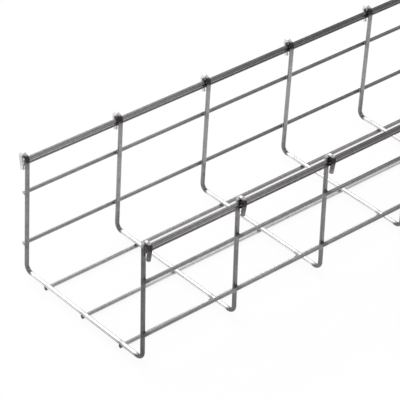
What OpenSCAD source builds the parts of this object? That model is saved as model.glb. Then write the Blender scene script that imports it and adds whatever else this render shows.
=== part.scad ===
// Wire mesh cable basket: one straight section of welded wire cable tray.
//
// U-shaped cross wires stand at an even pitch along straight line wires, which are welded to
// their outer side. The top of each cross wire turns out over a pair of rim wires and down
// again, so that the rim is a smooth hook with no wire end towards the cables.
//
// X runs across the basket, Y along it and Z up. The origin is at mid length and mid width,
// level with the underside of the floor line wires. Sizes are in millimetres.

/* [Section] */
// Number of cross wires along the section
cross_wire_count = 21; // [3:1:31]
// Distance from one cross wire to the next, centre to centre
cross_wire_pitch = 100; // [50:5:150]
// Clear width between the side walls at the floor
clear_width = 151; // [130:1:400]
// Inward lean of each side wall, in degrees
wall_lean = 1.2; // [0:0.1:4]
// Centreline radius of the bend between floor and side wall
floor_bend_r = 6.5; // [5:0.5:14]

/* [Wires] */
// Diameter of the bent cross wires
cross_wire_d = 4; // [3:0.25:5]
// Diameter of the straight line wires
line_wire_d = 3.5; // [3:0.25:5]
// Depth to which crossing wires are pressed into each other at a weld
weld_depth = 0.3; // [0.1:0.05:0.6]
// Diameter that a wire loses where it is stretched round a bend
bend_thinning = 0.04; // [0.02:0.01:0.1]

/* [Line wires] */
// Length of line wire that runs on past the axis of each end cross wire
line_wire_end = 1.1; // [1.1:0.1:4]
// Distance from one floor wire to the next
floor_wire_spacing = 50; // [20:2:60]
// Height of the lower wall wire, up the wall from the floor of the cross wire
lower_wall_wire_up = 27; // [18:1:45]
// Height of the upper wall wire, measured the same way
upper_wall_wire_up = 80; // [55:1:92]
// Height of the upper rim wire, measured the same way
rim_wire_up = 113.5; // [106:0.5:160]
// Gap between the upper and the lower rim wire
rim_wire_gap = 0.2; // [0.1:0.1:1]

/* [Rim hook] */
// Angle at which the hook climbs outwards over the rim wires, in degrees
hook_rise = 28; // [10:1:35]
// Angle by which the outer leg of the hook closes in towards the wall, in degrees
hook_toe_in = 9; // [0:1:12]
// Centreline radius of the two hook bends
hook_bend_r = 3.2; // [2.6:0.1:3.4]
// Distance from the upper rim wire down to the cut end of the hook
hook_drop = 11; // [8:1:20]
// Clearance between the hook and the rim wires that it encloses
hook_clearance = 0.1; // [0:0.05:0.4]

/* [Hidden] */
$fn = 32;
bend_overlap = 0.1;

// Half of the section as (outwards, up) about its own wall: the leg of the cross wire runs up
// the line out = 0, from up = 0 on the axis of its floor.
weld_offset = (cross_wire_d + line_wire_d) / 2 - weld_depth;
hook_offset = (cross_wire_d + line_wire_d) / 2 + hook_clearance;
rim_wire_step = line_wire_d + rim_wire_gap;
half_width = (clear_width + cross_wire_d) / 2;
floor_level = line_wire_d / 2 + weld_offset;
line_wire_length = (cross_wire_count - 1) * cross_wire_pitch + 2 * line_wire_end;

// The bridge of the hook is a line at hook_offset from the upper rim wire and the outer leg
// one at hook_offset from the lower rim wire. The corners of the hook are where they meet.
inner_corner_rise = (hook_offset - weld_offset * sin(hook_rise)) / cos(hook_rise);
outer_corner_rise = (hook_offset * (cos(hook_toe_in) + sin(hook_rise))
    + rim_wire_step * sin(hook_rise) * sin(hook_toe_in)) / cos(hook_rise + hook_toe_in);

// Distance outwards of the outer leg at a height above the upper rim wire
function outer_leg_out(rise) =
    weld_offset + (hook_offset + (rise + rim_wire_step) * sin(hook_toe_in)) / cos(hook_toe_in);

// Place in the section (X, Z) of a point given as out and up about the right-hand wall
function wall_point(out, up) = [
    half_width + out * cos(wall_lean) - up * sin(wall_lean),
    floor_level + out * sin(wall_lean) + up * cos(wall_lean)
];

function mirrored(point) = [-point.x, point.y];

// Corners of the right half of a cross wire, from the floor up to the cut end of the hook
half_path = [
    wall_point(0, 0),
    wall_point(0, rim_wire_up + inner_corner_rise),
    wall_point(outer_leg_out(outer_corner_rise), rim_wire_up + outer_corner_rise),
    wall_point(outer_leg_out(-hook_drop), rim_wire_up - hook_drop)
];
half_radii = [floor_bend_r, hook_bend_r, hook_bend_r, 0];
last = len(half_path) - 1;
cross_wire_path = concat([for (i = [last : -1 : 0]) mirrored(half_path[i])], half_path);
cross_wire_radii = concat([for (i = [last : -1 : 0]) half_radii[i]], half_radii);

// Right-hand line wires as name and place; each has a twin on the left-hand wall
wall_wires = [
    ["lower_wall_wire", wall_point(weld_offset, lower_wall_wire_up)],
    ["upper_wall_wire", wall_point(weld_offset, upper_wall_wire_up)],
    ["lower_rim_wire", wall_point(weld_offset, rim_wire_up - rim_wire_step)],
    ["upper_rim_wire", wall_point(weld_offset, rim_wire_up)]
];
floor_wires = [
    for (side = [-1, 0, 1])
        [["floor_wire_left", "floor_wire_middle", "floor_wire_right"][side + 1],
         [side * floor_wire_spacing, line_wire_d / 2]]
];
line_wires = concat(
    floor_wires,
    [for (wire = wall_wires) [str("left_", wire[0]), mirrored(wire[1])]],
    [for (wire = wall_wires) [str("right_", wire[0]), wire[1]]]
);

function cross_wire_name(i) = str("cross_wire_", i < 9 ? "0" : "", i + 1);
function cross_wire_y(i) = (i - (cross_wire_count - 1) / 2) * cross_wire_pitch;

function heading(a, b) = atan2(b.y - a.y, b.x - a.x);
function wrapped(angle) = angle - 360 * round(angle / 360);

// Change of heading at corner i of a path, positive to the left
function turn(path, i) = i <= 0 || i >= len(path) - 1
    ? 0
    : wrapped(heading(path[i], path[i + 1]) - heading(path[i - 1], path[i]));

// Length of straight wire that the bend at corner i takes up on each side of the corner
function trim(path, radii, i) = radii[i] * tan(abs(turn(path, i)) / 2);

// A straight stretch of wire from one point to another
module wire_straight(start, end, diameter) {
    translate(start)
        rotate([0, 0, heading(start, end)])
            rotate([0, 90, 0])
                cylinder(h = norm(end - start), d = diameter);
}

// One bend: starts at a point with the given heading and turns by angle about radius
module wire_bend(start, direction, angle, radius, diameter) {
    side = sign(angle);
    centre = start + side * radius * [-sin(direction), cos(direction)];
    first = direction - side * 90;
    translate(centre)
        rotate([0, 0, min(first, first + angle)])
            rotate_extrude(angle = abs(angle))
                translate([radius, 0])
                    circle(d = diameter);
}

// A round wire along a flat path, straight between corners and bent to a radius at each.
// Every straight stretch runs on into the slightly thinner bends at its ends by bend_overlap.
module bent_wire(path, radii, diameter) {
    final = len(path) - 1;
    for (i = [0 : final - 1]) {
        direction = heading(path[i], path[i + 1]);
        along = [cos(direction), sin(direction)];
        start = path[i] + along * trim(path, radii, i);
        end = path[i + 1] - along * trim(path, radii, i + 1);
        wire_straight(
            start - along * (i > 0 ? bend_overlap : 0),
            end + along * (i < final - 1 ? bend_overlap : 0),
            diameter
        );
        if (i < final - 1)
            wire_bend(end, direction, turn(path, i + 1), radii[i + 1], diameter - bend_thinning);
    }
}

module cross_wire(i) {
    color("gainsboro")
        translate([0, cross_wire_y(i), 0])
            rotate([90, 0, 0])
                bent_wire(cross_wire_path, cross_wire_radii, cross_wire_d);
}

module line_wire(place) {
    color("darkgray")
        translate([place.x, 0, place.y])
            rotate([90, 0, 0])
                cylinder(h = line_wire_length, d = line_wire_d, center = true);
}

for (wire = line_wires)
    line_wire(wire[1]);

for (i = [0 : cross_wire_count - 1])
    cross_wire(i);
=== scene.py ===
import math
import random

import bmesh
import bpy
from mathutils import Matrix, Vector, noise


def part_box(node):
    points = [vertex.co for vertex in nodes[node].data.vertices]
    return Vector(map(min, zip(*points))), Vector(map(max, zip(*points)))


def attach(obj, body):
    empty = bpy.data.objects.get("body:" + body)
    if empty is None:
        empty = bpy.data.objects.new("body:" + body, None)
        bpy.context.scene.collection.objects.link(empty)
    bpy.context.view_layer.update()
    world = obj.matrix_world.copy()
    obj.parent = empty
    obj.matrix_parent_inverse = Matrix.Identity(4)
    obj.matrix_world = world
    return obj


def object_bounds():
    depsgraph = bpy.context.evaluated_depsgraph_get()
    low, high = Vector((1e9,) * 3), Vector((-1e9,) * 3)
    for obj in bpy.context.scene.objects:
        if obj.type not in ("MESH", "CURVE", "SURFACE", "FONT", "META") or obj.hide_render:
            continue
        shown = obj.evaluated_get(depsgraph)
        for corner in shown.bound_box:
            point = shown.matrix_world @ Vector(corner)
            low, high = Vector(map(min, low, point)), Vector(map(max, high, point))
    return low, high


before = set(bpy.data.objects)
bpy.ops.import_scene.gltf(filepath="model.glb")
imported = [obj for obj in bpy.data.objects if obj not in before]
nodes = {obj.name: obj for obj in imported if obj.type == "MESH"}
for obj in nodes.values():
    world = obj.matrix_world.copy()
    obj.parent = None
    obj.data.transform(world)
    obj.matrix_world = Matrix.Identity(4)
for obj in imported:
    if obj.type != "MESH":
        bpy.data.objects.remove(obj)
cadLow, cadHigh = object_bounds()
lineNames = sorted(n for n in nodes if not n.startswith("cross_wire"))
crossNames = sorted(n for n in nodes if n.startswith("cross_wire"))
print("frame loaded:", len(lineNames), "line wires,", len(crossNames), "cross wires")


# A socket in a finish's node tree. Sums, differences, products and quotients of them add Math nodes.
class Signal:
    def __init__(self, finish, socket):
        self.finish = finish
        self.socket = socket

    def math(self, operation, *others):
        values = dict(enumerate((self,) + others))
        return self.finish.signal("Math", {"operation": operation}, values)

    def reversedMath(self, operation, first):
        return self.finish.signal("Math", {"operation": operation}, {0: first, 1: self})

    def __add__(self, other):
        return self.math("ADD", other)

    def __sub__(self, other):
        return self.math("SUBTRACT", other)

    def __mul__(self, other):
        return self.math("MULTIPLY", other)

    def __truediv__(self, other):
        return self.math("DIVIDE", other)

    def __rsub__(self, other):
        return self.reversedMath("SUBTRACT", other)

    def __rtruediv__(self, other):
        return self.reversedMath("DIVIDE", other)

    __radd__ = __add__
    __rmul__ = __mul__

    # 0 below low, 1 above high, smooth between
    def ramp(self, low, high):
        settings = {"interpolation_type": "SMOOTHSTEP"}
        values = {"Value": self, "From Min": low, "From Max": high}
        return self.finish.signal("MapRange", settings, values)


# A material with its node tree. node() adds any node: settings first, then socket values and links.
class Finish:
    def __init__(self, name):
        self.material = bpy.data.materials.new(name)
        self.material.use_nodes = True
        self.tree = self.material.node_tree
        self.tree.nodes.clear()

    def node(self, kind, settings=None, values=None):
        made = self.tree.nodes.new("ShaderNode" + kind)
        for key, setting in (settings or {}).items():
            setattr(made, key, setting)
        for key, value in (values or {}).items():
            if isinstance(value, Signal):
                self.tree.links.new(value.socket, made.inputs[key])
            else:
                made.inputs[key].default_value = value
        return made

    def signal(self, kind, settings=None, values=None, output=0):
        return Signal(self, self.node(kind, settings, values).outputs[output])

    def mixColour(self, factor, first, second):
        return self.signal("Mix", {"data_type": "RGBA"}, {0: factor, 6: first, 7: second}, 2)

    def place(self):
        return self.signal("TexCoord", output="Object")

    def coordinates(self):
        parts = self.node("SeparateXYZ", values={0: self.place()})
        return [Signal(self, parts.outputs[axis]) for axis in "XYZ"]

    # 1 where the surface faces straight down
    def facingDown(self):
        parts = self.node("SeparateXYZ", values={0: self.signal("NewGeometry", output="True Normal")})
        return Signal(self, parts.outputs["Z"]) * -1

    def vector(self, x, y, z):
        return self.signal("CombineXYZ", values={0: x, 1: y, 2: z})

    def noise(self, vector, scale, detail, roughness):
        values = {"Vector": vector, "Scale": scale, "Detail": detail, "Roughness": roughness}
        return self.signal("TexNoise", values=values)

    def bump(self, strength, distance, height):
        return self.signal("Bump", values={"Strength": strength, "Distance": distance, "Height": height})

    # Bare metal on the material's output
    def metal(self, colour, roughness, bump):
        shader = self.signal("BsdfPrincipled", values={
            "Base Color": colour, "Metallic": 1.0, "Roughness": roughness, "Normal": bump})
        self.node("OutputMaterial", values={"Surface": shader})


# Sizes of the basket, in metres, that the finishes and the welds follow
basket = {
    "pitch": 0.100,  # from one cross wire to the next
    "crossRadius": 0.002,
    "lineRadius": 0.00175,
    "weldDepth": 0.0003,  # how far crossing wires are pressed together
    "lean": math.radians(1.2),  # inward lean of the walls
    "floorBend": 0.0065,  # centreline radius between floor and wall
    "hookSkin": 0.003,  # only the hooks come this close to the basket's full width
}
lineRadius, lean = basket["lineRadius"], basket["lean"]
weldOffset = basket["crossRadius"] + lineRadius - basket["weldDepth"]
floorAxis = lineRadius + weldOffset  # height of the cross wire's axis on the floor


def wireCentre(name):
    low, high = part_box(name)
    return (low + high) / 2


# The leg's axis at floor height, found from the lower wall wire, which lies weldOffset outside it
lowerWall = wireCentre("right_lower_wall_wire")
legUp = (lowerWall.z - floorAxis - weldOffset * math.sin(lean)) / math.cos(lean)
halfWidth = lowerWall.x - weldOffset * math.cos(lean) + legUp * math.sin(lean)
rimTop = wireCentre("right_upper_rim_wire").z
rimLow = wireCentre("right_lower_rim_wire").z
hookEnd = min(v.co.z for v in nodes[crossNames[0]].data.vertices
              if v.co.x > cadHigh.x - basket["hookSkin"])
print("half width", round(halfWidth, 5), "rim wire at", round(rimTop, 5),
      "hooks end at", round(hookEnd, 5))


# Bright zinc over drawn wire: fine streaks along the wire, cloudy patches, small pits,
# and a duller, darker collar round every weld. Light and shade are painted on by place, as a mix
# of a shaded and a lit copy of the zinc. A noise has its scale, detail and roughness.
zinc = {
    # The shaded and the lit copy of the zinc, each from its darkest to its lightest streak; the finishes
    # paint light and shade by mixing them
    "shadedZinc": ((0.052, 0.048, 0.050, 1.0), (0.155, 0.146, 0.151, 1.0)),  # darkest, lightest streaks
    "bright": ((0.64, 0.625, 0.632, 1.0), (0.94, 0.925, 0.933, 1.0)),
    "weld": (0.062, 0.055, 0.059, 1.0),
    "cut": (0.12, 0.113, 0.117, 1.0),
    "streakAcross": 2600.0,  # streaks per metre round the wire
    "streakAlong": 45.0,
    "streakNoise": (1.0, 3.0, 0.6),
    "cloudNoise": (260.0, 3.0, 0.55),
    "grainNoise": (2340.0, 2.0, 0.6),
    "batchNoise": (5.0, 1.0, 0.5),  # slow change of tone from wire to wire
    "streakContrast": 1.1,
    "cloudContrast": 1.3,
    "grainContrast": 0.5,
    "batchContrast": 1.2,
    "pitScale": 1700.0,
    "pitSize": (0.02, 0.16),
    "pitClouds": (0.5, 0.64),  # pits show only where the clouds are above this
    "pitShade": 0.6,
    "collar": (0.0012, 0.0050),  # distances from a weld between which its collar fades
    # Share by which the weld collars darken, and with them the painted shade on the cross wires' hook
    # shoulders
    "darkeningShare": 0.5,
    "roughness": 0.24,
    "cloudRoughness": 0.25,
    "collarRoughness": 0.2,
    "cutRoughness": 0.15,
    "bumpStrength": 0.13,
    "bumpDistance": 0.00006,
    "streakHeight": 0.6,
    "grainHeight": 0.4,
    "pitDepth": 1.2,
}


# across1 and across2 are the coordinates over the wire's section and along runs with it. The next
# argument is painted light: from 0 for the shaded to 1 for the lit copy of the zinc. The one after is
# 1 at a weld's collar and on the cross wires also carries painted shade on the hooks' shoulders, and
# cutFace is 1 on a cut end.
def zincFinish(finish, across1, across2, along, brightness, darkening, cutFace):
    place = finish.place()
    streakPlace = finish.vector(across1 * zinc["streakAcross"], across2 * zinc["streakAcross"],
                                along * zinc["streakAlong"])
    streaks = finish.noise(streakPlace, *zinc["streakNoise"])
    clouds = finish.noise(place, *zinc["cloudNoise"])
    grain = finish.noise(place, *zinc["grainNoise"])
    batch = finish.noise(place, *zinc["batchNoise"])
    pits = finish.signal("TexVoronoi", values={"Vector": place, "Scale": zinc["pitScale"]})
    pitted = (1 - pits.ramp(*zinc["pitSize"])) * clouds.ramp(*zinc["pitClouds"])
    tone = ((streaks - 0.5) * zinc["streakContrast"] + (clouds - 0.5) * zinc["cloudContrast"]
            + (grain - 0.5) * zinc["grainContrast"] + (batch - 0.5) * zinc["batchContrast"] + 0.5)
    tone = tone.math("MAXIMUM", 0.0).math("MINIMUM", 1.0)
    # Mixing the shaded and the lit copy of the zinc by place paints light and shade on the wires
    shadedZinc = finish.mixColour(tone, *zinc["shadedZinc"])
    bright = finish.mixColour(tone, *zinc["bright"])
    colour = finish.mixColour(brightness, shadedZinc, bright)
    colour = finish.mixColour(pitted * zinc["pitShade"], colour, zinc["weld"])
    # Darkened towards the weld colour at each weld's collar; on the cross wires this also lays painted
    # shade on the hooks' shoulders
    colour = finish.mixColour(darkening * zinc["darkeningShare"], colour, zinc["weld"])
    colour = finish.mixColour(cutFace, colour, zinc["cut"])
    roughness = (zinc["roughness"] + (clouds - 0.5) * zinc["cloudRoughness"]
                 + darkening * zinc["collarRoughness"] + cutFace * zinc["cutRoughness"])
    height = (streaks * zinc["streakHeight"] + grain * zinc["grainHeight"]
              - pitted * zinc["pitDepth"])
    finish.metal(colour, roughness, finish.bump(zinc["bumpStrength"], zinc["bumpDistance"], height))


# Where one area of the basket passes into the next, in metres from the middle, the front end or
# the ground. The finishes change there.
areas = {
    "leftWall": (0.070, 0.075),  # towards the left
    "innerFloor": (-0.03, -0.02),  # between the left and the middle floor wire
    "rightHalf": (-0.01, 0.01),
    "floorLineHeight": (0.004, 0.02),  # from the top of the floor wires to clear of them
    "wallHeight": (0.014, 0.016),
    "legFootHeight": (0.005, 0.045),
    "rimHeight": 0.10,
    "hookHeight": (0.09, 0.095),
}


# Painted light and shade on the line wires, as shares from the shaded towards the lit copy of the zinc.
# A Range is measured from the front end, and Below from the axis of the upper rim wire.
lineTone = {
    "wall": 0.24,
    "farLoss": 0.15,  # towards the back
    "farRange": (0.06, 0.33),
    "floorGain": 0.12,
    "innerGain": 0.42,  # on the middle and right floor wires, past the middle of the first bay
    "innerRange": (0.05, 0.085),
    "rimLoss": 0.17,
    "rimLossAcross": 0.4,  # for each metre towards the right
    "rimBelow": 0.004,
    "topGain": 0.12,  # on top of the rim
    "topFarLoss": 0.06,
    "topBelow": 0.003,
    "betweenGain": 0.45,  # where the two rim wires face each other
    "betweenFarLoss": 0.18,
    "betweenUp": (0.0009, 0.0014),  # from the lower rim wire's axis
    "betweenDown": (0.0003, 0.0010),  # from the upper one's
    "leftEndGain": 0.8,
    "leftEndRange": (0.001, 0.004),
    "collarShare": 0.8,
    "cutSkin": (-0.00003, -0.00001),  # from the cut faces
}


def lineWireFinish():
    finish = Finish("zinc line wire")
    x, y, z = finish.coordinates()
    fromFront = y - cadLow.y
    pitch = basket["pitch"]
    toCross = ((y / pitch + 0.5).math("FRACT") - 0.5).math("ABSOLUTE") * pitch
    darkening = 1 - toCross.ramp(*zinc["collar"])
    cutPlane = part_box(lineNames[0])[1].y
    cutFace = (y.math("ABSOLUTE") - cutPlane).ramp(*lineTone["cutSkin"])
    farther = fromFront.ramp(*lineTone["farRange"])
    onFloor = 1 - z.ramp(*areas["floorLineHeight"])
    onInner = fromFront.ramp(*lineTone["innerRange"]) * x.ramp(*areas["innerFloor"])
    onRim = z.ramp(areas["rimHeight"], rimTop - lineTone["rimBelow"])
    onTop = onRim * z.ramp(rimTop - lineTone["topBelow"], rimTop)
    between = (z - rimLow).ramp(*lineTone["betweenUp"]) * (rimTop - z).ramp(*lineTone["betweenDown"])
    leftEnd = (x * -1).ramp(*areas["leftWall"]) * (1 - fromFront.ramp(*lineTone["leftEndRange"]))
    # Painted light and shade: darker towards the back, lighter on the floor wires and more so on the
    # middle and right ones past the first bay, darker on the rim and more so towards the right, a
    # painted highlight on top of the rim and where its two wires face each other, and the left wall's
    # front ends painted pale, over their cut faces too
    brightness = (lineTone["wall"] - farther * lineTone["farLoss"]
                  + onFloor * (lineTone["floorGain"] + onInner * lineTone["innerGain"])
                  - onRim * (lineTone["rimLoss"] + x * lineTone["rimLossAcross"])
                  + onTop * (lineTone["topGain"] - farther * lineTone["topFarLoss"])
                  + between * (lineTone["betweenGain"] - farther * lineTone["betweenFarLoss"])
                  + leftEnd * lineTone["leftEndGain"])
    zincFinish(finish, x, z, y, brightness, darkening * lineTone["collarShare"],
               cutFace * (1 - leftEnd))
    return finish.material


# Painted light and shade on the cross wires, as shares from the shaded towards the lit copy of the zinc,
# and the share of the darkening. Across means for each metre towards the right, a Range is measured
# from the front end, and Down from the top of the hooks.
crossTone = {
    "front": 0.09,
    "frontLossAcross": 0.5,
    "farGain": 0.14,
    "farLossAcross": 0.66,
    "farRange": (-0.05, 0.12),
    "floorGain": 0.95,
    "floorEdge": (-0.004, 0.001),  # from where the floor bend starts
    "undersideLoss": 0.9,  # on the first wire, growing towards the right
    "undersideAcross": (-0.09, 0.09),
    "undersideHeight": (-0.0006, 0.0012),  # from the wire's axis
    "firstRange": (0.01, 0.03),
    "leftHookGain": 0.75,
    "leftHookOut": (0.0005, 0.003),  # out from the leg's axis
    "outerOut": (0.002, 0.0045),
    "crestGain": 0.6,
    "crestDown": (0.0007, 0.0030),
    "innerCrestDown": (0.0065, 0.0095),
    "shoulderTopDown": (0.0005, 0.0025),
    "shoulderFootDown": (0.0060, 0.0100),
    "shoulderShade": 2.0,
    "collarShare": 0.35,
    "collarShareRight": 0.45,  # added on the right half
    "endFacing": (0.85, 0.95),
    "endSkin": (0.001, 0.002),
}


# Distance in metres from a coordinate to the nearest of a few fixed places
def nearest(coordinate, places):
    gaps = [(coordinate - place).math("ABSOLUTE") for place in places]
    best = gaps[0]
    for gap in gaps[1:]:
        best = best.math("MINIMUM", gap)
    return best


def crossWireFinish():
    finish = Finish("zinc cross wire")
    x, y, z = finish.coordinates()
    fromFront = y - cadLow.y
    down = cadHigh.z - z
    side = x.math("ABSOLUTE") + (z - floorAxis) * math.tan(lean)  # as if the walls stood upright
    bend = basket["floorBend"]
    pastFloor = side - (halfWidth - bend)
    outward = pastFloor.math("MAXIMUM", 0.0)
    downward = (floorAxis + bend - z).math("MAXIMUM", 0.0)
    ring = (outward * outward + downward * downward).math("SQRT")

    floorWelds = [wireCentre(n).x for n in lineNames if n.startswith("floor")]
    wallWelds = [wireCentre(n).z for n in lineNames if n.startswith("right")]
    onWall = z.ramp(*areas["wallHeight"])
    gap = nearest(x, floorWelds) * (1 - onWall) + nearest(z, wallWelds) * onWall
    darkening = 1 - gap.ramp(*zinc["collar"])

    onFloor = 1 - pastFloor.ramp(*crossTone["floorEdge"])
    underside = ((1 - fromFront.ramp(*crossTone["firstRange"]))
                 * x.ramp(*crossTone["undersideAcross"])
                 * (1 - (z - floorAxis).ramp(*crossTone["undersideHeight"])))
    onLeftHook = (x * -1 - halfWidth).ramp(*crossTone["leftHookOut"])
    onOuter = (side - halfWidth).ramp(*crossTone["outerOut"])
    onRight = x.ramp(*areas["rightHalf"])
    innerCrest = (1 - down.ramp(*crossTone["innerCrestDown"])) * (1 - onOuter) * onRight
    crest = (1 - down.ramp(*crossTone["crestDown"])).math("MAXIMUM", innerCrest)
    farther = fromFront.ramp(*crossTone["farRange"]) * z.ramp(*areas["legFootHeight"])
    # Painted light and shade: darker towards the right, lighter on the uprights further back, lit on the
    # floor but with painted shade on the front wire's underside, the left hooks painted pale and a
    # painted highlight on the hooks' crests
    brightness = (crossTone["front"] - x * crossTone["frontLossAcross"]
                  + farther * (crossTone["farGain"] - x * crossTone["farLossAcross"])
                  + onFloor * (crossTone["floorGain"] - underside * crossTone["undersideLoss"])
                  + onLeftHook * crossTone["leftHookGain"] + crest * crossTone["crestGain"])

    # Painted shade on the hooks' shoulders, just below their tops, where they face right; it darkens
    # like the weld collars
    facingRight = onOuter * onRight + (1 - onOuter) * (1 - onRight)
    shoulder = (down.ramp(*crossTone["shoulderTopDown"])
                * (1 - down.ramp(*crossTone["shoulderFootDown"])))
    collar = darkening * (crossTone["collarShare"] + onRight * crossTone["collarShareRight"])
    collarAndShoulderShade = collar.math("MAXIMUM", shoulder * facingRight * crossTone["shoulderShade"])
    cutFace = (finish.facingDown().ramp(*crossTone["endFacing"]) * z.ramp(*areas["hookHeight"])
               * (1 - (z - hookEnd).ramp(*crossTone["endSkin"])))
    zincFinish(finish, ring, y, side + z, brightness, collarAndShoulderShade, cutFace)
    return finish.material


def coverWires(names, material):
    for name in names:
        for slot in nodes[name].material_slots:
            slot.material = material


coverWires(lineNames, lineWireFinish())
coverWires(crossNames, crossWireFinish())
print("zinc finishes on the wires")


# Squeezed-out metal in the crevices round each weld
weld = {
    "across": 0.00205,  # half width of a nugget
    "thick": 0.00085,  # half thickness along the line through both wires
    "lump": 0.24,  # share by which its outline varies
    "lumpScale": 1.7,
    "segments": 16,
    "rings": 8,
    "dark": ((0.052, 0.048, 0.050, 1.0), (0.20, 0.193, 0.197, 1.0)),
    "pale": ((0.26, 0.254, 0.257, 1.0), (0.62, 0.61, 0.615, 1.0)),
    "rimHeight": (0.095, 0.100),
    "rightEdge": (0.06, 0.07),
    "firstRange": (0.003, 0.006),  # from the front end
    "cloudNoise": (900.0, 3.0, 0.6),
    "grainNoise": (4200.0, 2.0, 0.6),
    "grainHeight": 0.5,
    "roughness": 0.3,
    "cloudRoughness": 0.3,
    "bumpStrength": 0.5,
    "bumpDistance": 0.0001,
}


def weldMaterial():
    finish = Finish("plated weld")
    place = finish.place()
    x, y, z = finish.coordinates()
    clouds = finish.noise(place, *weld["cloudNoise"])
    grain = finish.noise(place, *weld["grainNoise"])
    onLeftWall = (x * -1).ramp(*areas["leftWall"]) * (1 - z.ramp(*weld["rimHeight"]))
    onInnerFloor = x.ramp(*areas["innerFloor"]) * (1 - x.ramp(*weld["rightEdge"]))
    pastFirst = (y - cadLow.y).ramp(*weld["firstRange"])
    dark = finish.mixColour(clouds, *weld["dark"])
    pale = finish.mixColour(clouds, *weld["pale"])
    # The nuggets on the left wall below the rim and on the inner floor past the front cross wire take
    # the pale copy as painted light; the others keep the dark copy
    colour = finish.mixColour(onLeftWall + onInnerFloor * pastFirst, dark, pale)
    height = clouds + grain * weld["grainHeight"]
    finish.metal(colour, clouds * weld["cloudRoughness"] + weld["roughness"],
                 finish.bump(weld["bumpStrength"], weld["bumpDistance"], height))
    return finish.material


# A flat, lumpy ball that lies across the line outward, cut off at the ends of the basket
def addNugget(form, centre, outward, seed):
    draw = random.Random(seed)
    offset = Vector((draw.uniform(-50, 50), draw.uniform(-50, 50), draw.uniform(-50, 50)))
    turn = Vector((0, 0, 1)).rotation_difference(outward).to_matrix()
    ball = bmesh.ops.create_uvsphere(form, u_segments=weld["segments"], v_segments=weld["rings"],
                                     radius=1.0)
    for vertex in ball["verts"]:
        direction = vertex.co.copy()
        swell = 1 + weld["lump"] * noise.noise(direction * weld["lumpScale"] + offset)
        flat = Vector((direction.x * weld["across"], direction.y * weld["across"],
                       direction.z * weld["thick"])) * swell
        vertex.co = centre + turn @ flat
        vertex.co.y = max(cadLow.y, min(cadHigh.y, vertex.co.y))


def buildWelds():
    crossPlaces = [wireCentre(n).y for n in crossNames]
    material = weldMaterial()
    for index, name in enumerate(lineNames):
        middle = wireCentre(name)
        if name.startswith("floor"):
            inward = Vector((0, 0, 1))
        else:
            side = 1 if name.startswith("right") else -1
            inward = Vector((-side * math.cos(lean), 0, -math.sin(lean)))
        form = bmesh.new()
        for number, y in enumerate(crossPlaces):
            centre = Vector((middle.x, y, middle.z)) + inward * (lineRadius - basket["weldDepth"] / 2)
            addNugget(form, centre, inward, index * 100 + number)
        data = bpy.data.meshes.new("welds_" + name)
        form.to_mesh(data)
        form.free()
        for polygon in data.polygons:
            polygon.use_smooth = True
        data.materials.append(material)
        piece = bpy.data.objects.new("welds_" + name, data)
        bpy.context.scene.collection.objects.link(piece)
        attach(piece, "root")


buildWelds()
print("welds added")


# White floor that keeps the shadow
floor = {
    "size": 60.0,
    "colour": (0.93, 0.93, 0.93, 1.0),
    "white": (1.0, 1.0, 1.0, 1.0),
    "whiteShare": 0.9,  # share of plain white where it is seen directly or in a reflection
}


def seenDirectly(finish):
    path = finish.node("LightPath")
    rays = [Signal(finish, path.outputs[key]) for key in
            ("Is Camera Ray", "Is Glossy Ray", "Is Transmission Ray")]
    return rays[0].math("MAXIMUM", rays[1]).math("MAXIMUM", rays[2])


def buildFloor():
    data = bpy.data.meshes.new("studio_floor")
    half = floor["size"] / 2
    corners = [(-half, -half, 0), (half, -half, 0), (half, half, 0), (-half, half, 0)]
    data.from_pydata(corners, [], [(0, 1, 2, 3)])
    piece = bpy.data.objects.new("studio_floor", data)
    piece.location.z = cadLow.z
    bpy.context.scene.collection.objects.link(piece)
    finish = Finish("studio floor")
    diffuse = finish.signal("BsdfDiffuse", values={"Color": floor["colour"]})
    white = finish.signal("Emission", values={"Color": floor["white"], "Strength": 1.0})
    share = seenDirectly(finish) * floor["whiteShare"]
    shown = finish.signal("MixShader", values={0: share, 1: diffuse, 2: white})
    finish.node("OutputMaterial", values={"Surface": shown})
    data.materials.append(finish.material)


buildFloor()


# Softboxes in a ring round the basket: (bearing from +X in degrees, height angle, radiance)
softboxes = {
    "distance": 6.0,
    "width": 3.6,
    "height": 4.1,
    "ring": [(157, 37, 2.0), (181, 37, 2.0), (205, 37, 2.0), (68, 44, 0.9), (300, 40, 0.6)],
    "aim": 0.45,  # they face the basket this far behind its front end
    "world": 0.6,
    "colour": (1.0, 1.0, 1.0, 1.0),
}


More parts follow.
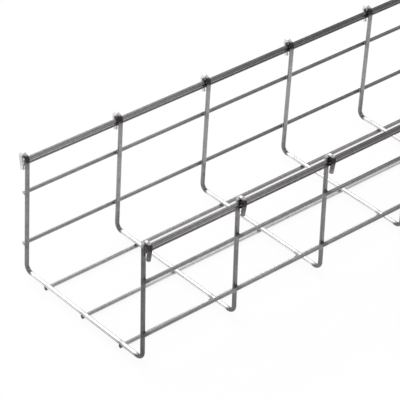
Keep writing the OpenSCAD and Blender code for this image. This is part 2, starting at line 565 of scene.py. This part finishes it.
def buildLights():
    centre = Vector((0, cadLow.y + softboxes["aim"], cadLow.z))
    area = softboxes["width"] * softboxes["height"]
    for number, (bearing, height, radiance) in enumerate(softboxes["ring"]):
        bearing, height = math.radians(bearing), math.radians(height)
        way = Vector((math.cos(bearing) * math.cos(height), math.sin(bearing) * math.cos(height),
                      math.sin(height)))
        lamp = bpy.data.lights.new(f"softbox_{number + 1}", "AREA")
        lamp.shape = "RECTANGLE"
        lamp.size = softboxes["width"]
        lamp.size_y = softboxes["height"]
        lamp.energy = radiance * math.pi * area
        item = bpy.data.objects.new(f"softbox_{number + 1}", lamp)
        item.location = centre + way * softboxes["distance"]
        item.rotation_euler = way.to_track_quat("Z", "Y").to_euler()
        bpy.context.scene.collection.objects.link(item)
    world = bpy.data.worlds.new("studio")
    bpy.context.scene.world = world
    world.use_nodes = True
    background = world.node_tree.nodes["Background"]
    background.inputs["Color"].default_value = softboxes["colour"]
    background.inputs["Strength"].default_value = softboxes["world"]


buildLights()
print("floor and lights set")


# Where the basket is seen from
view = {
    "bearing": 47.515,  # degrees from straight in front towards the right
    "height": 34.842,
    "roll": 2.517,
    "distance": 1.9267,
    "lens": 198.84,
    "sensor": 36.0,
    "target": (-0.02506, 0.15183, 0.04263),  # from the middle of the front end, on the floor
}


def buildCamera():
    bearing, height, roll = (math.radians(view[key]) for key in ("bearing", "height", "roll"))
    back = Vector((math.sin(bearing) * math.cos(height), -math.cos(bearing) * math.cos(height),
                   math.sin(height)))
    right = (-back).cross(Vector((0, 0, 1))).normalized()
    up = right.cross(-back)
    rolledRight = right * math.cos(roll) + up * math.sin(roll)
    rolledUp = up * math.cos(roll) - right * math.sin(roll)
    data = bpy.data.cameras.new("viewpoint")
    data.lens = view["lens"]
    data.sensor_width = view["sensor"]
    camera = bpy.data.objects.new("viewpoint", data)
    target = Vector((0, cadLow.y, cadLow.z)) + Vector(view["target"])
    turn = Matrix((rolledRight, rolledUp, back)).transposed()
    camera.matrix_world = Matrix.Translation(target + back * view["distance"]) @ turn.to_4x4()
    bpy.context.scene.collection.objects.link(camera)
    bpy.context.scene.camera = camera


buildCamera()
bpy.context.scene.view_settings.view_transform = "Standard"
print("camera placed")
